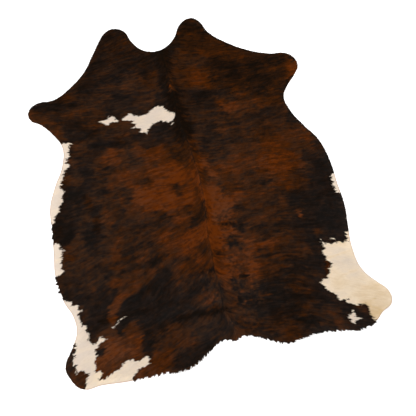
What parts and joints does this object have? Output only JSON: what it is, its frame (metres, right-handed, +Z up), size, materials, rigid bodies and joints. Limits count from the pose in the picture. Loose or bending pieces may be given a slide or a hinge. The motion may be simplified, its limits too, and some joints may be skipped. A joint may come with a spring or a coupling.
{
  "type": "cowhide rug",
  "caption": "Whole brindle cowhide rug with cream patches, lying flat hair side up, cut along the natural outline of neck lobes, legs, flanks and rump.",
  "frame": {"origin": "centre of the hide's box, at floor level", "axes": "+Y along the spine from the tail to the neck, +Z up out of the hair side, +X to the right of someone at the tail who looks at the neck"},
  "size_m": [1.8308, 2.244, 0.0151],
  "materials": {
    "coat": "short sleek brindle hair, near black to chestnut and orange brown, with cream patches"
  },
  "bodies": {
    "root": {"hide": "coat"}
  },
  "joints": []
}
